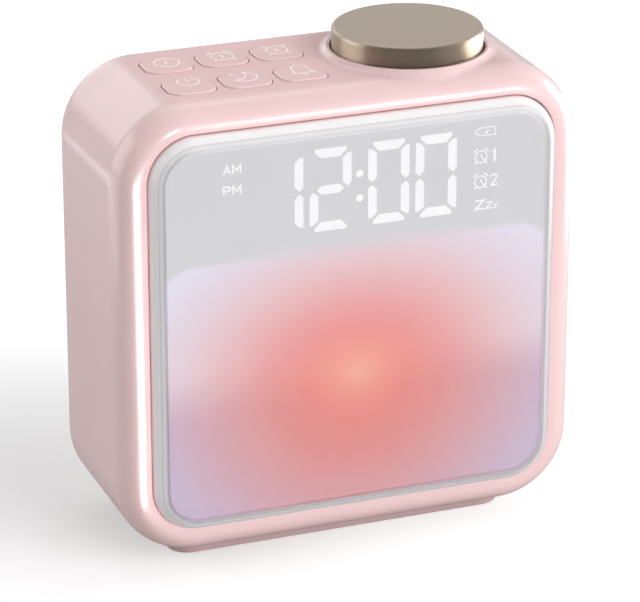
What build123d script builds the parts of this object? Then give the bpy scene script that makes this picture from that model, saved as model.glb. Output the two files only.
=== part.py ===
"""Bedside alarm clock with a night light: a rounded plastic case with a lit front, six keys and a knob.

Millimetres. +X is to the right of someone facing the clock, +Y points to its back and +Z is up.
The origin is on the surface that the clock stands on, under the middle of the whole clock.
"""
import os
from math import acos, degrees

from build123d import *

# Case: a tub moulded in one piece, open at the back
case_width = 106.0
case_height = 103.0
case_depth = 46.0
corner_radius = 17.0
case_wall = 2.4
rim_width = 6.5
rim_top = 5.6
rim_bottom = 6.8
rim_round = 0.25
rim_land = 0.15
front_round_depth = 7.0
back_round_width = 8.3
back_round_depth = 7.7
ledge_width = 3.9
ledge_thickness = 2.0

# Clearances between separate pieces, and how far a cut runs past what it cuts
fit_gap = 0.3
slide_gap = 0.2
screw_gap = 0.05
turn_gap = 0.05
overrun = 1.0

# Foot: one soft pad let into the underside
foot_side = 13.5
foot_margin = 8.7
foot_radius = 5.0
foot_height = 3.0
foot_seat = 1.0
foot_edge = 0.6

# Lens: a clear cover whose whole rounded edge stands proud of the rim
lens_proud = 3.2
lens_thickness = 6.2
lens_face = 1.2
lens_side = 1.2
lens_edge_round = 3.4
lens_inner_round = 2.2
lens_gap = 0.2
lens_glue = 0.05

# Light stack behind the lens
diffuser_gap = 0.15
diffuser_thickness = 1.8
diffuser_skirt = 1.5
box_wall = 1.0
board_gap = 0.2
divider_thickness = 1.6
pocket_radius = 5.0
ear_spread = 46.0
ear_radius = 3.0
ear_thickness = 2.0
led_board_thickness = 1.6
night_led_width = 5.0
night_led_height = 1.4
night_led_columns = 4
night_led_rows = 3
segment_led_width = 1.6
segment_led_depth = 0.8
segment_led_height = 0.6

# Display: seven-segment figures with small windows on both sides
digit_width = 9.5
digit_height = 18.6
digit_pitch = 10.9
digit_top_gap = 0.5
digit_floor_gap = 3.7
segment_width = 2.0
segment_gap = 0.35
colon_gap = 3.8
colon_radius = 0.8
colon_spread = 5.5
window_width = 5.4
window_height = 2.6
am_place_share = 0.335
am_top_gap = 0.7
am_drop = 4.6
icon_place_share = 0.377
icon_pitch = 5.5
icon_count = 4
am_count = 2

# Knob and the raised collar that it sits in
knob_margin = 6.4
knob_forward = 1.0
knob_side = 15.6
knob_rise = 5.35
knob_edge_round = 0.9
knob_wall = 1.2
knob_gap = 0.35
knob_underside_gap = 1.0
collar_height = 1.0
collar_land = 0.9
collar_slope_run = 2.6
collar_round = 0.35
collar_blend = 2.2
well_depth = 3.4
well_floor = 2.2
well_wall = 1.8
hub_plate = 2.0
hub_boss_radius = 5.2
hub_rib_thickness = 1.4
hub_rib_count = 6
hub_rib_depth = 1.6

# Rotary encoder that carries the knob
encoder_width = 11.7
encoder_length = 12.0
encoder_height = 6.6
encoder_floor = 0.4
bushing_radius = 3.5
bushing_length = 5.0
shaft_radius = 3.0
shaft_flat = 1.5
shaft_flat_length = 4.0
shaft_top_gap = 0.3
rotor_radius = 4.2
rotor_thickness = 1.5
push_radius = 1.5
push_length = 0.8
push_travel = 0.5
travel_room = 0.1
nut_flats = 10.0
nut_height = 2.2
encoder_board_width = 16.0
encoder_board_depth = 12.4
encoder_board_thickness = 1.6

# Keys on the top, three by two
key_spacing = 2.0
key_row_gap = 5.4
keys_side = 15.5
keys_knob_gap = 5.9
keys_front_gap = 2.2
keys_back_gap = 4.5
key_corner_share = 0.3125
key_proud = 0.35
key_edge = 0.35
key_flange = 0.7
key_flange_thickness = 1.0
key_rest_gap = 0.2
key_stem_radius = 1.9
key_stem_length = 0.3
switch_size = 6.0
switch_height = 2.5
switch_button_radius = 1.6
switch_button_proud = 0.7
switch_button_depth = 1.2
key_board_thickness = 1.2
key_board_margin = 2.8

# Bosses and screws
boss_radius = 2.3
screw_radius = 0.95
screw_length = 6.0
screw_head_radius = 1.9
screw_head_height = 1.3
cover_boss_radius = 3.0
cover_boss_length = 10.0
cover_pad_radius = 6.0
cover_screw_radius = 1.25
cover_screw_length = 8.0
cover_head_radius = 2.3
cover_head_height = 1.3
cover_head_recess = 1.6
cover_screw_inset = 4.8
slot_width = 0.6
slot_depth = 0.6

# Rear cover, flush in the back of the case
cover_margin = 1.2
cover_thickness = 2.5
cover_seat = 2.5
cover_gap = 0.25
cover_edge = 0.4
usb_hole_width = 12.6
usb_hole_height = 7.0
usb_shroud_wall = 1.4
usb_mouth_recess = 4.2
grille_hole_radius = 0.9
grille_pitch = 3.5
grille_margin = 2.0

# Speaker, glued behind the grille by its gasket
speaker_side_gap = 0.7
speaker_raise = 2.5
speaker_flange_width = 2.5
speaker_flange_thickness = 1.5
speaker_basket_depth = 7.0
speaker_basket_taper = 4.0
speaker_basket_wall = 1.0
magnet_margin = 1.0
magnet_depth = 5.0
cone_thickness = 0.5
cone_depth = 4.0
cone_gap = 0.6
dust_cap_radius = 5.0
dust_cap_rise = 1.6
gasket_thickness = 0.8
speaker_ring_wall = 1.5
speaker_ring_height = 3.0

# Main board with its socket, held on posts of the rear cover
main_board_side_gap = 0.7
main_board_height = 34.0
main_board_thickness = 1.6
main_board_floor_gap = 3.4
board_corner = 2.0
post_length = 9.9
post_inset = 3.5
usb_drop = 7.0
usb_width = 9.0
usb_height = 3.3
usb_wall = 0.3
usb_tongue_width = 6.7
usb_tongue_height = 0.7
usb_floor = 2.0
chip_size = 9.0
chip_height = 1.4
chip_count = 3

# Rechargeable cell, lying in two ribs on the case floor
cell_side_gap = 3.5
cell_end_gap = 3.2
cell_edge = 0.5
cell_terminal_radius = 3.0
cell_terminal_length = 1.2
cell_floor_gap = 0.8
cradle_thickness = 2.4
cradle_trim = 2.4
cradle_inset = 12.5

# Places worked out from the sizes above
overall_depth = case_depth + lens_proud
rim_y = lens_proud - overall_depth / 2
back_y = overall_depth / 2
case_mid_y = rim_y + case_depth / 2
case_mid_z = foot_height + case_height / 2
case_top_z = foot_height + case_height
case_floor_z = foot_height + case_wall
ceiling_z = case_top_z - case_wall

lens_front_y = rim_y - lens_proud
lens_back_y = lens_front_y + lens_thickness
lens_seat_y = lens_back_y + lens_glue
ledge_back_y = lens_seat_y + ledge_thickness
cover_inset = back_round_width + cover_margin
cover_inner_y = back_y - cover_thickness
cover_seat_y = cover_inner_y - cover_seat
cavity_width = case_width - 2 * case_wall
foot_width = case_width - 2 * foot_side
foot_depth = case_depth - 2 * foot_margin
knob_y = case_mid_y - knob_forward
foot_y = knob_y

front_width = case_width - 2 * rim_width
front_height = case_height - rim_top - rim_bottom
front_radius = corner_radius - rim_width
front_mid_z = foot_height + rim_bottom + front_height / 2
front_round_width = rim_top - rim_round - rim_land

lens_inner_y = lens_front_y + lens_face
diffuser_front_y = lens_inner_y + diffuser_gap
box_front_y = diffuser_front_y + diffuser_thickness
led_board_y = knob_y - encoder_board_depth / 2 - board_gap - led_board_thickness
box_inset = ledge_width + fit_gap
box_width = front_width - 2 * box_inset
box_height = front_height - 2 * box_inset
ear_x = cavity_width / 2 - fit_gap - ear_radius
light_floor_z = front_mid_z - box_height / 2 + box_wall
light_roof_z = front_mid_z + box_height / 2 - box_wall
pocket_width = box_width - 2 * box_wall
digit_centre_z = light_roof_z - digit_top_gap - digit_height / 2
divider_z = digit_centre_z - digit_height / 2 - digit_floor_gap - divider_thickness / 2

knob_radius = case_depth / 2 - knob_margin
knob_x = case_width / 2 - knob_side - knob_radius
knob_top_z = case_top_z + knob_rise
well_z = case_top_z - well_depth
well_radius = knob_radius + knob_gap
encoder_top_z = well_z - well_floor
encoder_base_z = encoder_top_z - encoder_height
bushing_top_z = encoder_top_z + bushing_length
knob_base_z = well_z + knob_underside_gap
knob_ceiling_z = knob_top_z - knob_wall
push_base_z = encoder_base_z + encoder_floor + push_travel + travel_room
rotor_base_z = push_base_z + push_length
rotor_top_z = rotor_base_z + rotor_thickness
shaft_top_z = knob_ceiling_z - shaft_top_gap

keys_span = case_width - keys_side - keys_knob_gap - 2 * knob_radius - knob_side
keys_flat = case_depth - front_round_depth - back_round_depth - keys_front_gap - keys_back_gap
key_width = (keys_span - 2 * key_spacing) / 3
key_depth = (keys_flat - key_row_gap) / 2
key_radius = min(key_width, key_depth) * key_corner_share
key_pitch_x = key_width + key_spacing
key_pitch_y = key_depth + key_row_gap
keys_x = keys_side + keys_span / 2 - case_width / 2
keys_y = rim_y + front_round_depth + keys_front_gap + keys_flat / 2
key_top_z = case_top_z + key_proud
flange_top_z = ceiling_z - key_rest_gap
flange_base_z = flange_top_z - key_flange_thickness
stem_base_z = flange_base_z - key_stem_length
key_board_z = stem_base_z - switch_button_proud - switch_height
button_base_z = stem_base_z - switch_button_proud - switch_button_depth
key_places = [
    (keys_x + column * key_pitch_x, keys_y - row * key_pitch_y)
    for row in (-0.5, 0.5)
    for column in (-1, 0, 1)
]
key_screw_x = key_pitch_x + key_width / 2 + key_flange + boss_radius + fit_gap
key_screw_y = key_pitch_y / 2 + key_depth / 2 + fit_gap

cover_screw_x = case_width / 2 - cover_inset - cover_screw_inset
cover_screw_z = case_height / 2 - cover_inset - cover_screw_inset
cover_half = case_width / 2 - cover_inset - cover_seat
speaker_x = -cover_half / 2
speaker_z = case_mid_z + speaker_raise
speaker_radius = cover_half / 2 - speaker_side_gap - speaker_ring_wall - fit_gap
speaker_mouth = speaker_radius - speaker_flange_width
speaker_basket_radius = speaker_mouth - speaker_basket_taper
magnet_radius = speaker_basket_radius - magnet_margin
grille_radius = speaker_mouth - grille_margin

led_board_back_y = led_board_y + led_board_thickness
cell_radius = (cover_seat_y - led_board_back_y) / 2 - cell_side_gap
cell_length = 2 * (cover_screw_x - cover_boss_radius - cell_end_gap)
cell_y = (led_board_back_y + cover_seat_y) / 2
cell_z = case_floor_z + cell_floor_gap + cell_radius
cradle_width = 2 * cell_radius - cradle_trim
cradle_spread = cell_length - 2 * cradle_inset

main_board_width = cover_half - 2 * main_board_side_gap
main_board_x = cover_half / 2
main_board_y = cover_inner_y - post_length - main_board_thickness
main_board_z = cell_z + cell_radius + main_board_floor_gap + main_board_height / 2
chip_pitch = main_board_width / chip_count
usb_z = main_board_z - usb_drop
usb_mouth_y = back_y - usb_mouth_recess


# Shared shapes
def upright(outline, y_from, y_to):
    """An outline drawn in X and Z, carried from one depth to another."""
    return extrude(Plane.XZ.offset(-y_from) * outline, amount=y_from - y_to)


def level(outline, z_from, z_to):
    """An outline drawn in X and Y, carried from one height to another."""
    return extrude(Pos(0, 0, z_from) * outline, amount=z_to - z_from)


def slab_y(width, height, radius, y_from, y_to, x=0, z=case_mid_z):
    return upright(Pos(x, z) * RectangleRounded(width, height, radius), y_from, y_to)


def front_outline(inset):
    """The rounded outline of the opening that the lens sits in, smaller all round by an inset."""
    outline = RectangleRounded(front_width - 2 * inset, front_height - 2 * inset, front_radius - inset)
    return Pos(0, front_mid_z) * outline


def rod_y(radius, y_from, y_to, x, z):
    return upright(Pos(x, z) * Circle(radius), y_from, y_to)


def rod_z(radius, z_from, z_to, x, y):
    return level(Pos(x, y) * Circle(radius), z_from, z_to)


def mirrored_places(x, z):
    """The four places at one distance to each side of the middle of the case."""
    return [(sx * x, case_mid_z + sz * z) for sx in (-1, 1) for sz in (-1, 1)]


def screw(shank_radius, length, head_radius, head_height):
    """A slotted pan-head screw: its head's underside at the origin, its shank down -Z."""
    head = extrude(Circle(head_radius), amount=head_height)
    head = fillet(head.edges().group_by(Axis.Z)[-1], head_height / 2)
    slot = Pos(0, 0, head_height) * Box(2 * head_radius, slot_width, 2 * slot_depth)
    return head - slot + extrude(Circle(shank_radius), amount=-length)


# Case
def wall_section():
    """The case's wall, cut through: X runs out from the axis of a corner, Y from front to back."""
    crest_x = corner_radius - front_round_width
    cover_x = corner_radius - cover_inset
    opening_x = cover_x - cover_seat
    wall_x = corner_radius - case_wall
    flange_x = front_radius - ledge_width - overrun
    shoulder_y = rim_y + front_round_depth
    heel_y = back_y - back_round_depth
    heel_x = corner_radius - back_round_width
    return make_face([
        Line((flange_x, rim_y), (crest_x, rim_y)),
        EllipticalCenterArc((crest_x, shoulder_y), front_round_width, front_round_depth, 270, arc_size=90),
        Line((corner_radius, shoulder_y), (corner_radius, heel_y)),
        EllipticalCenterArc((heel_x, heel_y), back_round_width, back_round_depth, 0, arc_size=90),
        Polyline(
            (heel_x, back_y), (cover_x, back_y), (cover_x, cover_inner_y), (opening_x, cover_inner_y),
            (opening_x, cover_seat_y), (wall_x, cover_seat_y), (wall_x, ledge_back_y),
            (flange_x, ledge_back_y), (flange_x, rim_y),
        ),
    ])


def case_ring():
    """The wall section carried round the four straight sides and the four corners."""
    section = wall_section()
    corner = revolve(section, Axis.Y, 90)
    run_x = case_width - 2 * corner_radius
    run_z = case_height - 2 * corner_radius
    sides = [(0, 1, -1, run_z), (90, -1, -1, run_x), (180, -1, 1, run_z), (270, 1, 1, run_x)]
    ring = Part()
    for turn, sx, sz, run in sides:
        place = Pos(sx * run_x / 2, 0, case_mid_z + sz * run_z / 2) * Rot(0, turn, 0)
        ring += place * (corner + extrude(section, amount=run))
    return ring


def lens_opening(ring):
    """Cut the lens's pocket and the window behind it, and break the pocket's front edge."""
    ring -= upright(front_outline(0), rim_y, lens_seat_y)
    ring -= upright(front_outline(ledge_width), rim_y, ledge_back_y)
    edges = ring.edges().group_by(Axis.Y)[0]
    reach = front_width / 2 + rim_land
    return fillet([edge for edge in edges if edge.bounding_box().max.X < reach], rim_round)


def collar():
    """A low cone round the knob, standing on the case's top and faired into it."""
    height = collar_height + case_wall
    lip_radius = well_radius + collar_land
    foot = (Align.CENTER, Align.CENTER, Align.MIN)
    cone = Cone(lip_radius + collar_slope_run, lip_radius, height, align=foot)
    return Pos(knob_x, knob_y, ceiling_z) * cone


def case_bosses():
    """Bosses for the light stack, the key board and the rear cover, and the cell's two ribs."""
    added = Part()
    ear_y = led_board_y - ear_thickness
    ear_hole_y = led_board_back_y - screw_length - overrun
    for x, z in mirrored_places(ear_x, ear_spread / 2):
        added += rod_y(boss_radius, ledge_back_y, ear_y, x, z)
        added -= rod_y(screw_radius + screw_gap, ear_hole_y, ear_y, x, z)
    for x, z in mirrored_places(cover_screw_x, cover_screw_z):
        added += rod_y(cover_pad_radius, cover_seat_y, cover_inner_y, x, z)
        added += rod_y(cover_boss_radius, cover_inner_y - cover_boss_length, cover_inner_y, x, z)
    for x, y in key_screw_places():
        added += rod_z(boss_radius, key_board_z, ceiling_z, x, y)
    for x in (-cradle_spread / 2, cradle_spread / 2):
        rib = Box(cradle_thickness, cradle_width, cell_z - case_floor_z + case_wall / 2)
        added += Pos(x, cell_y, (cell_z + case_floor_z - case_wall / 2) / 2) * rib
    cell_space = Rot(0, 90, 0) * Cylinder(cell_radius + fit_gap, cradle_spread + 2 * cradle_thickness)
    return added - Pos(0, cell_y, cell_z) * cell_space


def key_screw_places():
    return [(keys_x + sx * key_screw_x, keys_y + sy * key_screw_y) for sx in (-1, 1) for sy in (-1, 1)]


def main_case():
    body = lens_opening(case_ring()) + collar()
    seam = [
        edge
        for face in body.faces().filter_by(GeomType.CONE)
        for edge in face.edges()
        if edge.center().Z < case_top_z + collar_height - collar_round
        and edge.bounding_box().max.Z > ceiling_z + collar_round
    ]
    body = fillet(seam, collar_blend)
    body += rod_z(well_radius + well_wall, encoder_top_z, ceiling_z + case_wall / 2, knob_x, knob_y)
    body -= rod_z(well_radius, well_z, case_top_z + collar_height + overrun, knob_x, knob_y)
    body -= rod_z(bushing_radius + fit_gap, encoder_top_z - overrun, well_z + overrun, knob_x, knob_y)
    lip = body.edges().filter_by(GeomType.CIRCLE).group_by(Axis.Z)[-1]
    body = fillet(lip, collar_round)
    body += case_bosses()
    for x, z in mirrored_places(cover_screw_x, cover_screw_z):
        body -= rod_y(cover_screw_radius + screw_gap, cover_inner_y - cover_screw_length, back_y, x, z)
    for x, y in key_screw_places():
        body -= rod_z(screw_radius + screw_gap, key_board_z, key_board_z + screw_length, x, y)
    for x, y in key_places:
        hole = RectangleRounded(key_width + 2 * slide_gap, key_depth + 2 * slide_gap, key_radius + slide_gap)
        body -= level(Pos(x, y) * hole, ceiling_z - overrun, case_top_z + overrun)
    seat = RectangleRounded(foot_width + 2 * fit_gap, foot_depth + 2 * fit_gap, foot_radius + fit_gap)
    return body - level(Pos(0, foot_y) * seat, 0, foot_height + foot_seat)


def base_foot():
    outline = Pos(0, foot_y) * RectangleRounded(foot_width, foot_depth, foot_radius)
    pad = level(outline, 0, foot_height + foot_seat)
    return fillet(pad.edges().group_by(Axis.Z)[0], foot_edge)


# Lens and light stack
def front_lens():
    lens = upright(front_outline(lens_gap), lens_front_y, lens_back_y)
    lens = fillet(lens.edges().group_by(Axis.Y)[0], lens_edge_round)
    hollow = upright(front_outline(lens_gap + lens_side), lens_inner_y, lens_back_y + overrun)
    hollow = fillet(hollow.edges().group_by(Axis.Y)[0], lens_inner_round)
    return lens - hollow


def light_diffuser():
    """Opal tub that lines the lens: its face carries the picture and its skirt stands on the ledge."""
    inset = lens_gap + lens_side + diffuser_gap
    tub = upright(front_outline(inset), diffuser_front_y, lens_back_y)
    tub = fillet(tub.edges().group_by(Axis.Y)[0], lens_inner_round - diffuser_gap)
    return tub - upright(front_outline(inset + diffuser_skirt), box_front_y, lens_back_y + overrun)


def stack_ears():
    """Bars across the stack whose ends stand out as screw ears on both sides."""
    bar = SlotOverall(2 * (ear_x + ear_radius), 2 * ear_radius)
    return Pos(0, case_mid_z + ear_spread / 2) * bar + Pos(0, case_mid_z - ear_spread / 2) * bar


def ear_holes(y_from, y_to):
    holes = Part()
    for x, z in mirrored_places(ear_x, ear_spread / 2):
        holes += rod_y(screw_radius + fit_gap, y_from, y_to, x, z)
    return holes


def display_pocket(margin):
    """Outline of the upper pocket of the light box, smaller all round by a margin."""
    z_from = divider_z + divider_thickness / 2
    height = light_roof_z - z_from
    outline = RectangleRounded(pocket_width - 2 * margin, height - 2 * margin, pocket_radius - margin)
    return Pos(0, (z_from + light_roof_z) / 2) * outline


def night_light_pocket():
    z_to = divider_z - divider_thickness / 2
    outline = RectangleRounded(pocket_width, z_to - light_floor_z, pocket_radius)
    return Pos(0, (light_floor_z + z_to) / 2) * outline


def light_box():
    box = upright(front_outline(box_inset), box_front_y, led_board_y)
    box += upright(stack_ears(), led_board_y - ear_thickness, led_board_y)
    for pocket in (display_pocket(0), night_light_pocket()):
        box -= upright(pocket, box_front_y - overrun, led_board_y + overrun)
    return box - ear_holes(led_board_y - ear_thickness - overrun, led_board_y + overrun)


def segment_places():
    """Centre, length and upright flag of every bar of a figure, about the figure's middle."""
    half_width = (digit_width - segment_width) / 2
    half_height = (digit_height - segment_width) / 2
    across = 2 * half_width - segment_gap
    along = half_height - segment_gap
    level_bars = [(0, z, across, False) for z in (-half_height, 0, half_height)]
    upright_bars = [
        (x, z, along, True)
        for x in (-half_width, half_width)
        for z in (-half_height / 2, half_height / 2)
    ]
    return level_bars + upright_bars


def segment_bar(length, is_upright):
    """One pointed bar of a seven-segment figure."""
    tip = length / 2
    half = segment_width / 2
    bar = make_face(Polyline(
        (-tip, 0), (half - tip, half), (tip - half, half), (tip, 0), (tip - half, -half), (half - tip, -half),
        close=True,
    ))
    return Rot(0, 0, 90) * bar if is_upright else bar


def digit_places():
    """X of the four figures, two on each side of the colon."""
    near = colon_gap / 2 + digit_width / 2
    return [-near - digit_pitch, -near, near, near + digit_pitch]


def display_windows():
    """Every well of the display: figures, colon and the small windows at the sides."""
    wells = [
        (digit_x + x, digit_centre_z + z, segment_bar(length, is_upright))
        for digit_x in digit_places()
        for x, z, length, is_upright in segment_places()
    ]
    for z in (-colon_spread / 2, colon_spread / 2):
        wells.append((0, digit_centre_z + z, Circle(colon_radius)))
    side = Rectangle(window_width, window_height)
    top_z = digit_centre_z + digit_height / 2 - window_height / 2
    digits_edge = digit_places()[-1] + digit_width / 2
    side_room = pocket_width / 2 - digits_edge
    for row in range(am_count):
        am_z = top_z - am_top_gap - row * am_drop
        wells.append((-digits_edge - am_place_share * side_room, am_z, side))
    for row in range(icon_count):
        wells.append((digits_edge + icon_place_share * side_room, top_z - row * icon_pitch, side))
    return wells


def segment_reflector():
    block = upright(display_pocket(fit_gap / 2), box_front_y, led_board_y - segment_led_height - fit_gap)
    for x, z, outline in display_windows():
        block -= upright(Pos(x, z) * outline, box_front_y - overrun, led_board_y)
    return block


def led_board():
    board = upright(front_outline(box_inset) + stack_ears(), led_board_y, led_board_back_y)
    return board - ear_holes(led_board_y - overrun, led_board_back_y + overrun)


def segment_leds():
    """One small lamp behind each well of the display."""
    lamps = []
    for x, z, _ in display_windows():
        lamp = Rectangle(segment_led_width, segment_led_depth)
        lamps.append(upright(Pos(x, z) * lamp, led_board_y - segment_led_height, led_board_y))
    return Compound(lamps)


def night_light_leds():
    """Coloured lamps in rows across the night-light pocket."""
    lamps = []
    middle_z = (light_floor_z + divider_z) / 2
    pitch_x = pocket_width / night_led_columns
    pitch_z = (divider_z - light_floor_z) / night_led_rows
    for row in range(night_led_rows):
        for column in range(night_led_columns):
            x = (column - (night_led_columns - 1) / 2) * pitch_x
            z = middle_z + (row - (night_led_rows - 1) / 2) * pitch_z
            lamp = Pos(x, z) * Rectangle(night_led_width, night_led_width)
            lamps.append(upright(lamp, led_board_y - night_led_height, led_board_y))
    return Compound(lamps)


def light_stack_screws():
    """Four screws that hold the lamp board and the light box to the case."""
    part = screw(screw_radius, screw_length, screw_head_radius, screw_head_height)
    return Compound([
        Pos(x, led_board_back_y, z) * Rot(-90, 0, 0) * part
        for x, z in mirrored_places(ear_x, ear_spread / 2)
    ])


# Keys
def key_cap(x, y):
    cap = level(Pos(x, y) * RectangleRounded(key_width, key_depth, key_radius), flange_base_z, key_top_z)
    cap = fillet(cap.edges().group_by(Axis.Z)[-1], key_edge)
    flange = RectangleRounded(key_width + 2 * key_flange, key_depth + 2 * key_flange, key_radius + key_flange)
    cap += level(Pos(x, y) * flange, flange_base_z, flange_top_z)
    return cap + rod_z(key_stem_radius, stem_base_z, flange_base_z + key_flange_thickness / 2, x, y)


def switch_button(x, y):
    return rod_z(switch_button_radius, button_base_z, stem_base_z, x, y)


def key_switches():
    """Six push switches, each with a round hole that its button slides in."""
    bodies = []
    top_z = key_board_z + switch_height
    hole_z = button_base_z - push_travel - travel_room
    for x, y in key_places:
        body = level(Pos(x, y) * Rectangle(switch_size, switch_size), key_board_z, top_z)
        bodies.append(body - rod_z(switch_button_radius + turn_gap, hole_z, stem_base_z, x, y))
    return Compound(bodies)


def key_board():
    width = 2 * (key_screw_x + key_board_margin)
    depth = 2 * (key_screw_y + key_board_margin)
    board = Pos(keys_x, keys_y) * RectangleRounded(width, depth, board_corner)
    board = level(board, key_board_z - key_board_thickness, key_board_z)
    for x, y in key_screw_places():
        board -= rod_z(screw_radius + fit_gap, key_board_z - key_board_thickness - overrun, key_board_z, x, y)
    return board


def key_board_screws():
    part = screw(screw_radius, screw_length, screw_head_radius, screw_head_height)
    seat_z = key_board_z - key_board_thickness
    return Compound([Pos(x, y, seat_z) * Rot(180, 0, 0) * part for x, y in key_screw_places()])


# Knob and encoder
def knob_cap():
    cap = rod_z(knob_radius, knob_base_z, knob_top_z, knob_x, knob_y)
    cap = fillet(cap.edges().group_by(Axis.Z)[-1], knob_edge_round)
    return cap - rod_z(knob_radius - knob_wall, knob_base_z - overrun, knob_ceiling_z, knob_x, knob_y)


def shaft_outline(gap):
    """The shaft's round outline with one flat, larger all round by a gap."""
    flat_x = shaft_flat + gap
    cut = Pos(flat_x + shaft_radius, 0) * Rectangle(2 * shaft_radius, 2 * (shaft_radius + overrun))
    return Pos(knob_x, knob_y) * (Circle(shaft_radius + gap) - cut)


def knob_hub():
    """Moulded insert that fills the cap's top and grips the shaft, stiffened by radial ribs."""
    inner_radius = knob_radius - knob_wall - screw_gap
    plate_z = knob_ceiling_z - hub_plate
    boss_z = shaft_top_z - shaft_flat_length + shaft_top_gap
    hub = rod_z(inner_radius, plate_z, knob_ceiling_z, knob_x, knob_y)
    hub += rod_z(hub_boss_radius, boss_z, knob_ceiling_z, knob_x, knob_y)
    rib_length = inner_radius - hub_boss_radius / 2
    for rib in range(hub_rib_count):
        bar = Pos(hub_boss_radius / 2 + rib_length / 2, 0, -hub_rib_depth / 2)
        bar *= Box(rib_length - knob_wall, hub_rib_thickness, hub_rib_depth)
        hub += Pos(knob_x, knob_y, plate_z) * Rot(0, 0, rib * 360 / hub_rib_count) * bar
    return hub - level(shaft_outline(screw_gap), boss_z - overrun, shaft_top_z)


def encoder_shaft():
    shaft = rod_z(shaft_radius, rotor_base_z, shaft_top_z - shaft_flat_length, knob_x, knob_y)
    shaft += rod_z(rotor_radius, rotor_base_z, rotor_top_z, knob_x, knob_y)
    return shaft + level(shaft_outline(0), shaft_top_z - shaft_flat_length, shaft_top_z)


def encoder_plunger():
    return rod_z(push_radius, push_base_z, rotor_base_z, knob_x, knob_y)


def encoder_body():
    """Square can with a threaded bushing, hollow round the rotor and the push contact."""
    can = Pos(knob_x, knob_y) * Rectangle(encoder_width, encoder_length)
    body = level(can, encoder_base_z, encoder_top_z)
    body += rod_z(bushing_radius, encoder_top_z, bushing_top_z, knob_x, knob_y)
    floor_z = encoder_base_z + encoder_floor
    body -= rod_z(rotor_radius + fit_gap, floor_z, rotor_top_z + travel_room, knob_x, knob_y)
    return body - rod_z(shaft_radius + turn_gap, floor_z, bushing_top_z + overrun, knob_x, knob_y)


def encoder_nut():
    outline = RegularPolygon(nut_flats / 2, 6, major_radius=False) - Circle(bushing_radius + screw_gap)
    return level(Pos(knob_x, knob_y) * outline, well_z, well_z + nut_height)


def encoder_board():
    outline = Pos(knob_x, knob_y) * RectangleRounded(encoder_board_width, encoder_board_depth, board_corner)
    return level(outline, encoder_base_z - encoder_board_thickness, encoder_base_z)


# Back of the clock
def grille_places():
    """Holes in staggered rows that fill a round field about the speaker's axis."""
    row_pitch = grille_pitch * 3 ** 0.5 / 2
    rows = int(grille_radius / row_pitch)
    columns = int(grille_radius / grille_pitch) + 1
    places = []
    for row in range(-rows, rows + 1):
        for column in range(-columns, columns + 1):
            x = (column + row % 2 / 2) * grille_pitch
            z = row * row_pitch
            if x ** 2 + z ** 2 <= grille_radius ** 2:
                places.append((speaker_x + x, speaker_z + z))
    return places


def board_posts():
    dx = main_board_width / 2 - post_inset
    dz = main_board_height / 2 - post_inset
    return [(main_board_x + sx * dx, main_board_z + sz * dz) for sx in (-1, 1) for sz in (-1, 1)]


def usb_outline(margin):
    outline = SlotOverall(usb_hole_width + 2 * margin, usb_hole_height + 2 * margin)
    return Pos(main_board_x, usb_z) * outline


def rear_cover():
    inset = cover_inset + cover_gap
    cover = slab_y(case_width - 2 * inset, case_height - 2 * inset, corner_radius - inset,
                   cover_inner_y, back_y)
    cover = fillet(cover.edges().group_by(Axis.Y)[-1], cover_edge)
    ring_y = cover_inner_y - speaker_ring_height
    ring_radius = speaker_radius + fit_gap
    cover += rod_y(ring_radius + speaker_ring_wall, ring_y, cover_inner_y, speaker_x, speaker_z)
    cover -= rod_y(ring_radius, ring_y - overrun, cover_inner_y, speaker_x, speaker_z)
    cover += upright(usb_outline(usb_shroud_wall), usb_mouth_y, cover_inner_y)
    cover -= upright(usb_outline(0), usb_mouth_y - overrun, back_y + overrun)
    post_y = cover_inner_y - post_length
    for x, z in board_posts():
        cover += rod_y(boss_radius, post_y, cover_inner_y, x, z)
        cover -= rod_y(screw_radius + screw_gap, post_y - overrun, post_y + screw_length, x, z)
    for x, z in grille_places():
        cover -= rod_y(grille_hole_radius, cover_inner_y - overrun, back_y + overrun, x, z)
    for x, z in mirrored_places(cover_screw_x, cover_screw_z):
        cover -= rod_y(cover_screw_radius + fit_gap, cover_inner_y - overrun, back_y, x, z)
        cover -= rod_y(cover_head_radius + fit_gap, back_y - cover_head_recess, back_y + overrun, x, z)
    return cover


def cover_screws():
    part = screw(cover_screw_radius, cover_screw_length, cover_head_radius, cover_head_height)
    seat_y = back_y - cover_head_recess
    return Compound([
        Pos(x, seat_y, z) * Rot(-90, 0, 0) * part
        for x, z in mirrored_places(cover_screw_x, cover_screw_z)
    ])


def about_speaker(section):
    """A section drawn as radius and depth behind the cover, turned about the speaker's axis."""
    return Pos(speaker_x, cover_inner_y, speaker_z) * revolve(section, Axis.Y, 360)


def speaker_gasket():
    ring = Circle(speaker_radius) - Circle(speaker_mouth)
    return upright(Pos(speaker_x, speaker_z) * ring, cover_inner_y - gasket_thickness, cover_inner_y)


def speaker_basket():
    """Pressed frame: a flat flange, a tapering wall and a floor that carries the magnet."""
    flange_y = -gasket_thickness
    wall_y = flange_y - speaker_flange_thickness
    floor_y = wall_y - speaker_basket_depth
    inner = speaker_basket_radius - speaker_basket_wall
    return about_speaker(make_face(Polyline(
        (0, floor_y), (speaker_basket_radius, floor_y), (speaker_mouth + speaker_basket_wall, wall_y),
        (speaker_radius, wall_y), (speaker_radius, flange_y), (speaker_mouth, flange_y),
        (speaker_mouth, wall_y), (inner, floor_y + speaker_basket_wall), (0, floor_y + speaker_basket_wall),
        close=True,
    )))


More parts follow.
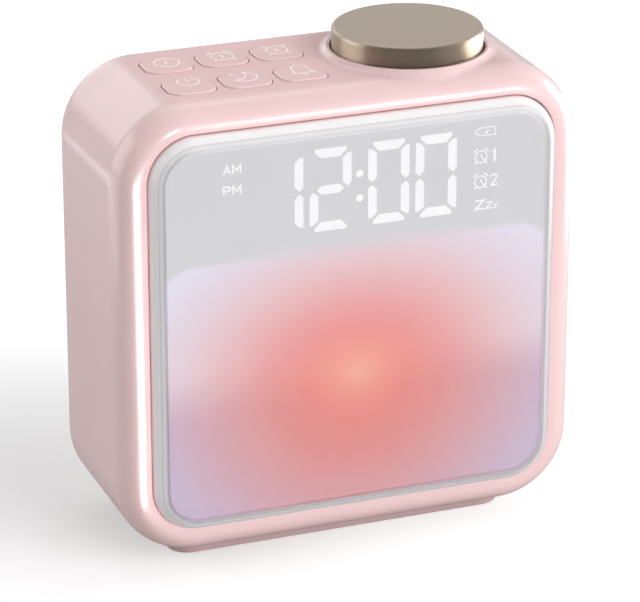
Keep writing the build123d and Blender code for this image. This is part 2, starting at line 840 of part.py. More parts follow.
def speaker_cone():
    """Paper cone with a domed cap, glued to the mouth of the basket."""
    mouth_y = -gasket_thickness - speaker_flange_thickness
    mouth = speaker_mouth - screw_gap
    neck_y = mouth_y - cone_depth
    cap_y = neck_y + cone_thickness
    dome = (dust_cap_radius ** 2 + dust_cap_rise ** 2) / (2 * dust_cap_rise)
    dome_start = degrees(acos(dust_cap_radius / dome))
    return about_speaker(make_face([
        Polyline(
            (0, cap_y + dust_cap_rise), (0, neck_y), (dust_cap_radius, neck_y), (mouth - cone_gap, mouth_y),
            (mouth, mouth_y), (mouth, mouth_y + cone_thickness),
            (mouth - cone_gap, mouth_y + cone_thickness), (dust_cap_radius, cap_y),
        ),
        CenterArc((0, cap_y + dust_cap_rise - dome), dome, dome_start, 90 - dome_start),
    ]))


def speaker_magnet():
    top_y = cover_inner_y - gasket_thickness - speaker_flange_thickness - speaker_basket_depth
    return rod_y(magnet_radius, top_y - magnet_depth, top_y, speaker_x, speaker_z)


def main_board():
    board = slab_y(main_board_width, main_board_height, board_corner,
                   main_board_y, main_board_y + main_board_thickness, main_board_x, main_board_z)
    for x, z in board_posts():
        board -= rod_y(screw_radius + fit_gap, main_board_y - overrun, back_y, x, z)
    return board


def main_board_screws():
    part = screw(screw_radius, screw_length, screw_head_radius, screw_head_height)
    return Compound([Pos(x, main_board_y, z) * Rot(90, 0, 0) * part for x, z in board_posts()])


def main_board_chips():
    """Flat packages in a row along the top of the main board."""
    z = main_board_z + main_board_height / 2 - post_inset - chip_size
    chips = []
    for number in range(chip_count):
        x = main_board_x + (number - (chip_count - 1) / 2) * chip_pitch
        chip = Pos(x, z) * Rectangle(chip_size, chip_size)
        chips.append(upright(chip, main_board_y - chip_height, main_board_y))
    return Compound(chips)


def usb_socket():
    """Socket standing on the main board, its mouth facing the back, with a tongue inside."""
    base_y = main_board_y + main_board_thickness
    place = Pos(main_board_x, usb_z)
    shell = upright(place * SlotOverall(usb_width, usb_height), base_y, usb_mouth_y)
    inner = SlotOverall(usb_width - 2 * usb_wall, usb_height - 2 * usb_wall)
    shell -= upright(place * inner, base_y + usb_floor, usb_mouth_y + overrun)
    tongue = Rectangle(usb_tongue_width, usb_tongue_height)
    return shell + upright(place * tongue, base_y + usb_floor / 2, usb_mouth_y - usb_wall)


def battery_cell():
    """A round cell lying along X, with a raised contact at one end."""
    cell = Rot(0, 90, 0) * Cylinder(cell_radius, cell_length)
    cell = fillet(cell.edges().filter_by(GeomType.CIRCLE), cell_edge)
    contact = Rot(0, 90, 0) * Cylinder(cell_terminal_radius, cell_terminal_length)
    cell += Pos((cell_length + cell_terminal_length) / 2, 0, 0) * contact
    return Pos(0, cell_y, cell_z) * cell


# Every piece by its name
key_names = ["clock", "alarm_one", "alarm_two", "power", "moon", "bell"]
pieces = {
    "main_case": main_case(),
    "base_foot": base_foot(),
    "front_lens": front_lens(),
    "light_diffuser": light_diffuser(),
    "light_box": light_box(),
    "segment_reflector": segment_reflector(),
    "led_board": led_board(),
    "segment_leds": segment_leds(),
    "night_light_leds": night_light_leds(),
    "light_stack_screws": light_stack_screws(),
    "key_board": key_board(),
    "key_switches": key_switches(),
    "key_board_screws": key_board_screws(),
    "knob_cap": knob_cap(),
    "knob_hub": knob_hub(),
    "encoder_shaft": encoder_shaft(),
    "encoder_plunger": encoder_plunger(),
    "encoder_body": encoder_body(),
    "encoder_nut": encoder_nut(),
    "encoder_board": encoder_board(),
    "rear_cover": rear_cover(),
    "cover_screws": cover_screws(),
    "speaker_gasket": speaker_gasket(),
    "speaker_basket": speaker_basket(),
    "speaker_cone": speaker_cone(),
    "speaker_magnet": speaker_magnet(),
    "main_board": main_board(),
    "main_board_screws": main_board_screws(),
    "main_board_chips": main_board_chips(),
    "usb_socket": usb_socket(),
    "battery_cell": battery_cell(),
}
for name, (x, y) in zip(key_names, key_places):
    pieces[f"{name}_key"] = key_cap(x, y)
    pieces[f"{name}_switch_button"] = switch_button(x, y)

os.makedirs("parts", exist_ok=True)
for name, piece in pieces.items():
    export_step(piece, f"parts/{name}.step")
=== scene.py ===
"""Looks of the night light alarm clock: finishes, lit figures, printed key signs and the studio.

Metres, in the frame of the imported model: +X to the right of the clock's front, +Y to its back, +Z up.
"""
import math

import bmesh
import bpy
from mathutils import Matrix, Vector


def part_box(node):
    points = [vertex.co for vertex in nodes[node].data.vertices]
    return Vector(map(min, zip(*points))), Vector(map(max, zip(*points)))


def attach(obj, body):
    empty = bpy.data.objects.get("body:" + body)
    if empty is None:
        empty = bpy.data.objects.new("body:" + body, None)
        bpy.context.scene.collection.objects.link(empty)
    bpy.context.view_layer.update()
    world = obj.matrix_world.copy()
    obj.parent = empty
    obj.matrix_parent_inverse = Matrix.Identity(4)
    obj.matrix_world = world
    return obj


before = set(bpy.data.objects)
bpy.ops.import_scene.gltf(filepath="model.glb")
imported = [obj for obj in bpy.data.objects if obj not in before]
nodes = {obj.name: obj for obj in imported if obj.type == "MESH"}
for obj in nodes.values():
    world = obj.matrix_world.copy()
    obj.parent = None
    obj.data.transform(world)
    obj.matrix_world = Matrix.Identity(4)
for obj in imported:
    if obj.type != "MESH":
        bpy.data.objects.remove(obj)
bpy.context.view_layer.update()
MM = 0.001

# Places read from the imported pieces
panel_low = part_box("light_diffuser")[0]
knob_low, knob_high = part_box("knob_cap")
knob_axis = (knob_low + knob_high) / 2
key_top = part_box("clock_key")[1].z


# Colours and node helpers
def srgb(red, green, blue):
    """A colour in screen values, 0 to 255, as linear light."""
    def linear(value):
        value /= 255
        return value / 12.92 if value <= 0.04045 else ((value + 0.055) / 1.055) ** 2.4
    return (linear(red), linear(green), linear(blue), 1.0)


def shade(colour, factor):
    """A colour made lighter or darker by a factor."""
    return tuple(min(1.0, part * factor) for part in colour[:3]) + (1.0,)


class Surface:
    """A material with one Principled shader and short calls for the nodes that feed it."""

    def __init__(self, name, **sockets):
        self.material = bpy.data.materials.new(name)
        self.material.use_nodes = True
        self.tree = self.material.node_tree
        self.tree.nodes.clear()
        self.output = self.tree.nodes.new("ShaderNodeOutputMaterial")
        self.shader = self.add("BsdfPrincipled", **sockets)
        self.link(self.shader.outputs["BSDF"], self.output.inputs["Surface"])
        self.place = self.add("TexCoord").outputs["Object"]

    def link(self, source, target):
        self.tree.links.new(source, target)

    def add(self, kind, settings=None, **sockets):
        made = self.tree.nodes.new("ShaderNode" + kind)
        for key, value in (settings or {}).items():
            setattr(made, key, value)
        for key, value in sockets.items():
            socket = made.inputs[key.replace("_", " ").title().replace("Ior", "IOR")]
            if isinstance(value, bpy.types.NodeSocket):
                self.link(value, socket)
            else:
                socket.default_value = value
        return made

    def feed(self, socket, source):
        self.link(source, self.shader.inputs[socket])

    def noise(self, scale, detail=2.0, place=None):
        made = self.add("TexNoise", vector=place or self.place, scale=scale, detail=detail)
        return made.outputs["Fac"]

    def math(self, operation, first, second=0.0):
        made = self.add("Math", {"operation": operation})
        for socket, value in zip(made.inputs, (first, second)):
            if isinstance(value, bpy.types.NodeSocket):
                self.link(value, socket)
            else:
                socket.default_value = value
        return made.outputs[0]

    def spread(self, value, low, high, start=0.0, end=1.0, smooth=False):
        """A value that runs from start to end, spread over low to high."""
        kind = {"interpolation_type": "SMOOTHSTEP" if smooth else "LINEAR"}
        made = self.add("MapRange", kind, value=value, from_min=start, from_max=end, to_min=low, to_max=high)
        return made.outputs["Result"]

    def ramp(self, value, stops):
        made = self.add("ValToRGB", fac=value)
        points = made.color_ramp.elements
        while len(points) < len(stops):
            points.new(1.0)
        for point, (at, colour) in zip(points, stops):
            point.position = at
            point.color = colour
        return made.outputs["Color"]

    def mix(self, factor, first, second):
        made = self.add("Mix", {"data_type": "RGBA"})
        for number, value in ((0, factor), (6, first), (7, second)):
            if isinstance(value, bpy.types.NodeSocket):
                self.link(value, made.inputs[number])
            else:
                made.inputs[number].default_value = value
        return made.outputs[2]

    def relief(self, height, distance, strength=1.0):
        """Bumps of a real height."""
        bump = self.add("Bump", height=height, distance=distance, strength=strength)
        self.feed("Normal", bump.outputs["Normal"])


# Finishes
panel_tone = srgb(92, 91, 92)
room_light = 0.215  # what the panel gives back of the studio's light, in linear values
level_start, level_end = 0.95, 0.998  # where a surface counts as level, by its normal's Z


def moulded(name, colour, gloss, grain, depth, level_coat=None, **sockets):
    """Moulded plastic: a slow drift of colour, cloudy gloss and a fine grain.

    level_coat is the weight of the glossy skin where the surface lies level.
    """
    made = Surface(name, **sockets)
    if level_coat is not None:
        facing = made.add("SeparateXYZ", vector=made.add("TexCoord").outputs["Normal"])
        level = made.math("ABSOLUTE", facing.outputs["Z"])
        coat, shine = sockets["coat_weight"], sockets["specular_ior_level"]
        made.feed("Coat Weight", made.spread(level, coat, level_coat, level_start, level_end, True))
        made.feed("Specular IOR Level", made.spread(level, shine, shine * 0.15, level_start, level_end, True))
    drift = made.noise(38.0)
    made.feed("Base Color", made.ramp(drift, [(0.3, shade(colour, 0.98)), (0.7, shade(colour, 1.02))]))
    cloud = made.noise(210.0, 4.0)
    made.feed("Roughness", made.spread(cloud, gloss - 0.03, gloss + 0.03, 0.3, 0.7))
    made.relief(made.noise(1 / grain, 2.0), depth, 0.4)
    return made.material


def pink_case():
    """Satin pink plastic of the case and keys, with a thin glossy skin that is matt on the level top."""
    return moulded("pink_plastic", srgb(222, 191, 191), 0.42, 0.3 * MM, 0.002 * MM,
                   level_coat=0.03, specular_ior_level=0.2, coat_weight=0.8, coat_roughness=0.18)


def pink_cover():
    """The back's plastic, with the matt texture of its mould."""
    return moulded("pink_cover_plastic", srgb(213, 185, 184), 0.5, 0.28 * MM, 0.02 * MM)


def pink_foot():
    """Soft rubber of the foot."""
    return moulded("pink_foot_rubber", srgb(192, 163, 163), 0.62, 0.5 * MM, 0.02 * MM)


def clear_lens():
    """Acrylic cover: clear over its flat face and milky round its edge, with faint wiping marks.

    Where it faces right, the milky edge is greyer and less shiny: a painted shade. Round its turn it carries
    painted reflection bands: two thin grey lines, and a pink painted reflection of the case near its side wall.
    """
    made = Surface("clear_acrylic", ior=1.49)
    facing = made.add("SeparateXYZ", vector=made.add("TexCoord").outputs["Normal"])
    turn = made.math("ABSOLUTE", facing.outputs["Y"])
    made.feed("Transmission Weight", made.spread(turn, 0.0, 1.0, 0.86, 0.99, True))
    # the milky edge's colour by how far it turns, with painted reflection bands: two thin grey lines, and a
    # pink painted reflection of the case near the side wall
    milky_and_painted_bands = made.ramp(turn, [
        (0.0, srgb(240, 200, 200)), (0.2, srgb(240, 228, 228)), (0.4, srgb(236, 234, 235)),
        (0.76, srgb(224, 222, 223)), (0.81, srgb(190, 188, 189)), (0.85, srgb(212, 210, 211)),
        (0.95, srgb(208, 207, 208)), (0.97, srgb(190, 189, 190)), (0.99, (0.985, 0.985, 0.99, 1)),
    ])
    # painted shade: the edge turns greyer and less shiny where it faces right
    most = 0.85
    painted_right_shade = made.spread(facing.outputs["X"], 0.0, most, 0.2, 0.8, True)
    made.feed("Base Color", made.mix(painted_right_shade, milky_and_painted_bands, srgb(180, 172, 174)))
    made.feed("Specular IOR Level", made.spread(painted_right_shade, 0.5, 0.1, 0.0, most))
    wiped = made.spread(made.noise(95.0, 5.0), 0.0, 0.03, 0.45, 0.75)
    frosted = made.spread(turn, 0.28, 0.0, 0.985, 0.9995, True)
    made.feed("Roughness", made.math("ADD", wiped, frosted))
    through = made.add("BsdfTransparent", color=(0.96, 0.96, 0.97, 1))
    ray = made.add("LightPath")
    both = made.tree.nodes.new("ShaderNodeMixShader")
    made.link(ray.outputs["Is Shadow Ray"], both.inputs[0])
    made.link(made.shader.outputs["BSDF"], both.inputs[1])
    made.link(through.outputs["BSDF"], both.inputs[2])
    made.link(both.outputs["Shader"], made.output.inputs["Surface"])
    return made.material


def glow(red, green, blue):
    """The lamp light that brings the panel up to a screen colour, on top of the room's light."""
    return tuple(max(0.0, part - room_light) for part in srgb(red, green, blue)[:3]) + (1.0,)


def glowing_panel():
    """Opal tub: grey behind the figures, a glow from orange to lavender below, a pale unlit edge."""
    made = Surface("opal_glow", roughness=0.5, emission_strength=1.0)
    glow_height, glow_reach = 42.5 * MM, 60 * MM
    shorter_above = 0.35
    split = made.add("SeparateXYZ", vector=made.place)
    across, up = split.outputs["X"], made.math("SUBTRACT", split.outputs["Z"], glow_height)
    steep = made.math("ADD", up, made.math("MULTIPLY", made.math("MAXIMUM", up), shorter_above))
    ray = made.add("CombineXYZ", x=across, z=steep)
    length = made.add("VectorMath", {"operation": "LENGTH"}, vector=ray.outputs["Vector"])
    far = made.math("DIVIDE", length.outputs["Value"], glow_reach)
    upper = made.ramp(far, [
        (0.0, glow(249, 176, 158)), (0.1, glow(248, 162, 148)), (0.217, glow(242, 154, 147)),
        (0.35, glow(239, 166, 165)), (0.483, glow(237, 186, 188)), (0.617, glow(235, 205, 211)),
        (0.77, glow(232, 218, 230)), (0.92, glow(231, 227, 241)),
    ])
    lower = made.ramp(far, [
        (0.0, glow(249, 174, 157)), (0.108, glow(242, 153, 140)), (0.183, glow(236, 143, 136)),
        (0.333, glow(229, 150, 147)), (0.467, glow(222, 163, 166)), (0.617, glow(215, 175, 187)),
        (0.79, glow(205, 188, 210)),
    ])
    height = made.spread(split.outputs["Z"], 0.0, 1.0, 35 * MM, 49 * MM, True)
    pocket = made.mix(height, lower, upper)

    # the lit pocket behind the panel, with round upper corners and an edge that is softest in the middle
    half_width, top, corner = 45 * MM, 71.6 * MM, 8 * MM
    out_x = made.math("MAXIMUM", made.math("SUBTRACT", made.math("ABSOLUTE", across), half_width - corner))
    out_z = made.math("MAXIMUM", made.math("SUBTRACT", split.outputs["Z"], top - corner))
    edge = made.add("CombineXYZ", x=out_x, z=out_z)
    outside = made.add("VectorMath", {"operation": "LENGTH"}, vector=edge.outputs["Vector"]).outputs["Value"]
    soft = made.spread(made.math("ABSOLUTE", across), 3.0 * MM, 0.6 * MM, 14 * MM, 32 * MM, True)
    past_edge = made.math("DIVIDE", made.math("SUBTRACT", outside, corner), soft)
    inside = made.spread(past_edge, 1.0, 0.0, -1.0, 1.0, True)
    light = made.mix(inside, glow(216, 216, 217), pocket)

    # the rounded edge and the skirt get less lamp light and show the opal's own white
    facing = made.add("SeparateXYZ", vector=made.add("TexCoord").outputs["Normal"])
    turned = made.spread(facing.outputs["Y"], 0.0, 1.0, -0.93, -0.45, True)
    frost = made.noise(420.0, 3.0)
    made.feed("Emission Color", made.mix(turned, light, srgb(160, 158, 160)))
    face = made.ramp(frost, [(0.3, shade(panel_tone, 0.97)), (0.7, shade(panel_tone, 1.03))])
    made.feed("Base Color", made.mix(turned, face, srgb(188, 187, 188)))
    made.relief(made.noise(2600.0), 0.004 * MM)
    return made.material


def lit_window():
    """White light through a clear window, slightly uneven."""
    made = Surface("lit_window", base_color=panel_tone, roughness=0.4, emission_strength=1.0)
    bright = made.ramp(made.noise(160.0), [(0.3, glow(252, 252, 253)), (0.7, glow(255, 255, 255))])
    made.feed("Emission Color", bright)
    made.relief(made.noise(2600.0), 0.003 * MM)
    return made.material


def white_ink():
    """Printed white, slightly uneven where the ink lies thinner."""
    made = Surface("white_ink")
    white = made.ramp(made.noise(900.0, 4.0), [(0.3, srgb(244, 240, 239)), (0.7, srgb(252, 251, 250))])
    made.feed("Base Color", white)
    made.feed("Roughness", made.spread(made.noise(1400.0), 0.4, 0.6))
    made.relief(made.noise(5200.0), 0.002 * MM)
    return made.material


def champagne_metal():
    """Anodised knob: a satin top with fine turning lines and a side that draws light into upright bands."""
    made = Surface("champagne_metal", metallic=1.0, anisotropic_rotation=0.25)
    local = made.add("VectorMath", {"operation": "SUBTRACT"}, vector=made.place).outputs["Vector"]
    local.node.inputs[1].default_value = knob_axis
    split = made.add("SeparateXYZ", vector=local)
    flat = made.add("CombineXYZ", x=split.outputs["X"], y=split.outputs["Y"])
    radius = made.add("VectorMath", {"operation": "LENGTH"}, vector=flat.outputs["Vector"]).outputs["Value"]
    facing = made.add("SeparateXYZ", vector=made.add("TexCoord").outputs["Normal"])
    top = made.spread(facing.outputs["Z"], 0.0, 1.0, 0.75, 0.97, True)
    turned = made.add("TexNoise", {"noise_dimensions": "1D"}, w=radius, scale=5200.0, detail=3.0)
    tone = made.noise(60.0, 3.0)
    side_colour, top_colour = srgb(176, 161, 143), srgb(176, 162, 148)
    side_tone = made.ramp(tone, [(0.3, shade(side_colour, 0.96)), (0.7, shade(side_colour, 1.03))])
    top_tone = made.ramp(tone, [(0.3, shade(top_colour, 0.97)), (0.7, shade(top_colour, 1.02))])
    made.feed("Base Color", made.mix(top, side_tone, top_tone))
    satin = made.spread(turned.outputs["Fac"], 0.36, 0.48)
    polish = made.spread(made.noise(500.0, 4.0), 0.4, 0.46)
    made.feed("Roughness", made.mix(top, polish, satin))
    made.feed("Anisotropic", made.spread(top, 0.92, 0.0))
    made.feed("Tangent", made.add("Tangent", {"direction_type": "RADIAL", "axis": "Z"}).outputs["Tangent"])
    made.relief(made.math("MULTIPLY", turned.outputs["Fac"], top), 0.003 * MM, 0.6)
    return made.material


def plated_steel():
    """Plated steel with a cloudy polish."""
    made = Surface("plated_steel", metallic=1.0)
    grey = made.ramp(made.noise(700.0, 4.0), [(0.3, srgb(176, 176, 178)), (0.7, srgb(206, 206, 208))])
    made.feed("Base Color", grey)
    made.feed("Roughness", made.spread(made.noise(2400.0, 3.0), 0.22, 0.42))
    made.relief(made.noise(5000.0), 0.003 * MM, 0.6)
    return made.material


def circuit_board():
    """Green solder mask over copper, with the copper's tracks showing through."""
    made = Surface("circuit_board", coat_weight=0.3)
    tracks = made.add("TexBrick", vector=made.place, scale=260.0, mortar_size=0.012)
    copper = made.spread(made.noise(140.0, 1.0), 0.0, 1.0, 0.48, 0.52)
    shown = made.math("MULTIPLY", tracks.outputs["Fac"], copper)
    made.feed("Base Color", made.mix(shown, srgb(28, 88, 52), srgb(52, 122, 74)))
    made.feed("Roughness", made.spread(made.noise(900.0), 0.25, 0.4))
    made.relief(tracks.outputs["Fac"], 0.03 * MM, 0.6)
    return made.material


def lamp_package():
    """Small lamp: a yellow phosphor window in a white frame."""
    made = Surface("lamp_package", emission_strength=0.25)
    dots = made.noise(1300.0, 2.0)
    made.feed("Base Color", made.ramp(dots, [(0.35, srgb(250, 246, 226)), (0.65, srgb(248, 222, 130))]))
    made.feed("Emission Color", made.ramp(dots, [(0.35, srgb(255, 226, 205)), (0.65, srgb(255, 176, 140))]))
    made.feed("Roughness", made.spread(dots, 0.25, 0.45))
    return made.material


finishes = {
    "case_plastic": pink_case(),
    "foot_rubber": pink_foot(),
    "lens_clear": clear_lens(),
    "opal_panel": glowing_panel(),
    "white_plastic": moulded("white_moulding", srgb(236, 236, 233), 0.45, 0.4 * MM, 0.01 * MM),
    "lamp": lamp_package(),
    "circuit_board": circuit_board(),
    "knob_metal": champagne_metal(),
    "steel": plated_steel(),
    "dark_plastic": moulded("black_moulding", srgb(42, 42, 45), 0.42, 0.3 * MM, 0.015 * MM),
    "speaker_frame": moulded("black_paint", srgb(58, 58, 61), 0.38, 0.5 * MM, 0.012 * MM),
    "speaker_paper": moulded("pressed_paper", srgb(54, 53, 52), 0.85, 0.7 * MM, 0.05 * MM),
    "magnet": moulded("ferrite", srgb(96, 96, 98), 0.55, 0.4 * MM, 0.02 * MM),
    "foam": moulded("closed_foam", srgb(46, 46, 46), 0.9, 0.9 * MM, 0.08 * MM),
    "cell_wrap": moulded("shrunk_sleeve", srgb(74, 124, 178), 0.3, 1.2 * MM, 0.02 * MM),
}
cover_finish = pink_cover()
for name, part in nodes.items():
    slot = part.data.materials[0].name.split(".")[0]
    part.data.materials[0] = cover_finish if name == "rear_cover" else finishes[slot]


# Flat signs: outlines and ribbons drawn in two directions and raised into thin plates
def arc(across, up, radius, start, end, steps=24):
    """Points along part of a circle, by angles in degrees from the right-hand direction."""
    turns = [math.radians(start + (end - start) * step / steps) for step in range(steps + 1)]
    return [(across + radius * math.cos(t), up + radius * math.sin(t)) for t in turns]


def ring(across, up, radius, steps=40):
    """Points round a whole circle."""
    return arc(across, up, radius, 0, 360, steps)[:-1]


def ribbon(points, width, closed=False):
    """The two edges of a line of even width along points, as quads."""
    count = len(points)
    path = [Vector(p) for p in points]
    left, right = [], []
    for number, point in enumerate(path):
        before = path[number - 1] if closed or number else None
        after = path[(number + 1) % count] if closed or number + 1 < count else None
        first = (point - before).normalized() if before else (after - point).normalized()
        second = (after - point).normalized() if after else first
        normal = Vector((-first.y - second.y, first.x + second.x))
        normal.normalize()
        stretch = 1 / max(0.4, normal.dot(Vector((-first.y, first.x))))
        left.append(point + normal * width / 2 * stretch)
        right.append(point - normal * width / 2 * stretch)
    last = count if closed else count - 1
    return [[right[n], right[(n + 1) % count], left[(n + 1) % count], left[n]] for n in range(last)]


def sign(name, outlines, place, thickness, finish, body):
    """Raises flat outlines, in millimetres, into one thin plate that rides on a body.

    place turns (across, up, out of the surface) into the frame.
    """
    shape = bmesh.new()
    for outline in outlines:
        corners = [shape.verts.new((x * MM, y * MM, 0)) for x, y in outline]
        shape.faces.new(corners)
    bmesh.ops.remove_doubles(shape, verts=shape.verts, dist=0.002 * MM)
    bmesh.ops.recalc_face_normals(shape, faces=shape.faces)
    for face in shape.faces:
        if face.normal.z < 0:
            face.normal_flip()
    raised = bmesh.ops.extrude_face_region(shape, geom=shape.faces[:])
    top = [part for part in raised["geom"] if isinstance(part, bmesh.types.BMVert)]
    bmesh.ops.translate(shape, verts=top, vec=(0, 0, thickness))
    bmesh.ops.transform(shape, matrix=place, verts=shape.verts)
    bmesh.ops.recalc_face_normals(shape, faces=shape.faces)
    mesh = bpy.data.meshes.new(name)
    shape.to_mesh(mesh)
    shape.free()
    mesh.materials.append(finish)
    piece = bpy.data.objects.new(name, mesh)
    bpy.context.scene.collection.objects.link(piece)
    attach(piece, body)
    return piece


# Lit figures and signs on the panel
window_light = lit_window()
window_thickness = 0.06 * MM
figure_places = {"hours_tens": ("bc", -17.3), "hours_ones": ("abged", -6.4),
                 "minutes_tens": ("abcdef", 6.9), "minutes_ones": ("abcdef", 17.8)}
figure_mid = 85.3


def on_panel(across, up):
    """A place on the panel's front: across is +X and up is +Z."""
    turn = Matrix(((1, 0, 0), (0, 0, -1), (0, 1, 0))).to_4x4()
    return Matrix.Translation((across * MM, panel_low.y, up * MM)) @ turn


def figure_bars(names):
    """The bars of a seven-segment figure, named a to g from the top and round to the middle."""
    top = [(-3.62, 9.3), (3.62, 9.3), (3.62, 8.6), (2.25, 7.2), (-2.25, 7.2), (-3.62, 8.6)]
    side = [(2.76, 6.8), (4.0, 7.85), (4.74, 7.85), (4.74, 1.15), (3.92, 0.3), (2.76, 1.35)]
    middle = [(-3.05, 0), (-2.03, 1), (2.03, 1), (3.05, 0), (2.03, -1), (-2.03, -1)]
    shapes = {
        "a": top, "b": side, "c": [(x, -y) for x, y in side], "d": [(x, -y) for x, y in top],
        "e": [(-x, -y) for x, y in side], "f": [(-x, y) for x, y in side], "g": middle,
    }
    return [shapes[name] for name in names]


for name, (bars, across) in figure_places.items():
    sign(f"figure_{name}", figure_bars(bars), on_panel(across, figure_mid), window_thickness,
         window_light, "case")
colon = [ring(0, -2.76, 0.81), ring(0, 2.76, 0.81)]
sign("figure_colon", colon, on_panel(0.25, figure_mid - 0.1), window_thickness,
     window_light, "case")


def letter(strokes, width, height, across, line):
    """Straight strokes given as shares of a letter's width and height."""
    made = []
    for stroke in strokes:
        made += ribbon([(across + x * width, (y - 0.5) * height) for x, y in stroke], line)
    return made


letter_a = [[(0, 0), (0.5, 1), (1, 0)], [(0.2, 0.34), (0.8, 0.34)]]
letter_m = [[(0, 0), (0, 1), (0.5, 0.35), (1, 1), (1, 0)]]
letter_p = [[(0, 0), (0, 1), (0.7, 1), (0.95, 0.86), (0.95, 0.62), (0.7, 0.48), (0, 0.48)]]
letter_z = [[(0, 1), (1, 1), (0, 0), (1, 0)]]
letter_height, letter_line = 1.8, 0.36
for name, first, up in (("morning", letter_a, 92.5), ("afternoon", letter_p, 87.9)):
    outlines = letter(first, 1.55, letter_height, -1.9, letter_line)
    outlines += letter(letter_m, 1.7, letter_height, 0.2, letter_line)
    sign(f"{name}_sign", outlines, on_panel(-28.5, up), window_thickness, window_light, "case")


def alarm_clock(radius, line, reach):
    """A round alarm clock with two bells that stand off by a reach, and two feet."""
    made = ribbon(ring(0, 0, radius), line, True)
    bells = (arc(0, 0, radius + reach, 146, 112, 8), arc(0, 0, radius + reach, 68, 34, 8))
    feet = ([(side * radius * 0.68, -radius * 0.72), (side * radius * 1.02, -radius * 1.18)]
            for side in (-1, 1))
    for line_points in (*bells, *feet):
        made += ribbon(line_points, line * 1.15)
    return made


def moved(outlines, across, up, scale=1.0):
    """Outlines scaled and then shifted."""
    return [[(x * scale + across, y * scale + up) for x, y in outline] for outline in outlines]


one = [[(-0.53, 0.4), (-0.53, 0.75), (-0.1, 1.45), (0.27, 1.45), (0.27, -1.45), (-0.26, -1.45), (-0.26, 0.7)]]
two = ribbon([(-0.72, 0.75), (-0.6, 1.05), (-0.3, 1.22), (0.1, 1.22), (0.45, 1.05), (0.6, 0.7), (0.45, 0.25),
              (-0.65, -1.15), (0.78, -1.15)], 0.36)
hands = ribbon([(0.08, 0.62), (0.05, 0.12), (0.9, -0.95)], 0.28)
for name, number, across, up in (("one", one, 3.2, 88.1), ("two", two, 3.15, 82.4)):
    outlines = alarm_clock(1.35, 0.28, 0.66) + hands + moved(number, across, 0.1)
    sign(f"alarm_{name}_window", outlines, on_panel(28.2, up), window_thickness,
         window_light, "case")

battery = ribbon([(-1.93, -0.9), (1.93, -0.9), (1.93, 0.9), (-1.93, 0.9), (-1.93, 0.42), (-2.65, 0.42),
                  (-2.65, -0.4), (-1.93, -0.4)], 0.19, True)
battery += [[(-0.9, -0.35), (0.2, -0.5), (0.05, -0.02)], [(-0.12, 0.42), (-0.05, -0.02), (0.85, 0.07)],
            [(-0.05, -0.1), (0.1, -0.1), (0.05, 0.1), (-0.1, 0.1)]]
sign("battery_window", battery, on_panel(29.53, 93.77), window_thickness, window_light, "case")

sleep = []
sleep_mid = 29.5
for width, height, across, line in ((2.0, 1.9, 27.03, 0.4), (1.4, 1.36, 29.55, 0.3), (0.84, 0.76, 31.32, 0.19)):
    sleep += moved(letter(letter_z, width, height, across - sleep_mid, line), 0, (height + line) / 2)
sign("snooze_window", sleep, on_panel(sleep_mid, 75.96), window_thickness, window_light, "case")

# Printed signs on the keys
ink = white_ink()
ink_thickness = 0.03 * MM
ink_line = 0.24


def on_key(across, back):
    """A place on the keys' tops: across is +X and back is +Y."""
    return Matrix.Translation((across * MM, back * MM, key_top))


def alarm_key_sign(number):
    """An alarm clock with its number in the middle."""
    return alarm_clock(2.4, ink_line, 0.95) + moved(number, 0, 0, 0.62)


def moon_sign():
    """A crescent that opens to the back left, with a small star in its opening."""
    crescent = arc(0, 0, 2.95, 78, -147, 30) + arc(-2.3, 1.6, 3.2, -93, 24, 20)[1:-1]
    star = [(-2.0 + reach * math.cos(turn), 2.3 + reach * math.sin(turn)) for reach, turn in (
        (0.5 if point % 2 == 0 else 0.2, math.pi * point / 4) for point in range(8))]
    return ribbon(crescent, ink_line, True) + [star]


def bell_sign():
    """A bell in outline with a flared foot and a clapper."""
    left = [(-2.45, -2.5), (-1.95, -1.7), (-1.8, -0.6), (-1.8, 0.6)]
    dome = arc(0, 0.8, 1.8, 172, 8, 16)
    right = [(-x, y) for x, y in reversed(left)]
    return ribbon(left + dome + right, ink_line, True) + ribbon(arc(0, -2.8, 0.8, 200, 340, 10), ink_line)


clock_sign = ribbon(ring(0, 0, 2.75), ink_line, True) + ribbon([(0, 1.25), (0.05, 0), (-0.7, -0.7)], ink_line)
power_sign = ribbon(arc(0, 0, 2.4, 127, 422, 40), ink_line) + ribbon([(0, -0.2), (0, 2.45)], ink_line)
key_signs = {
    "clock": (clock_sign, -31.7, 8.9),
    "alarm_one": (alarm_key_sign(one), -19.2, 8.7),
    "alarm_two": (alarm_key_sign(two), -6.6, 8.6),
    "power": (power_sign, -31.6, -4.9),
    "moon": (moon_sign(), -19.5, -6.0),
    "bell": (bell_sign(), -6.4, -5.45),
}
for name, (outlines, across, back) in key_signs.items():
    sign(f"{name}_key_sign", outlines, on_key(across, back), ink_thickness, ink, f"{name}_key")


# Studio: floor, lamps and camera
def sheet(name, corners, finish):
    """A flat sheet of the studio, divided so that it shades evenly."""
    shape = bmesh.new()
    shape.faces.new([shape.verts.new(corner) for corner in corners])
    bmesh.ops.subdivide_edges(shape, edges=shape.edges[:], cuts=3, use_grid_fill=True)
    mesh = bpy.data.meshes.new(name)
    shape.to_mesh(mesh)
    shape.free()
    mesh.materials.append(finish)
    made = bpy.data.objects.new(name, mesh)
    bpy.context.scene.collection.objects.link(made)
    return made


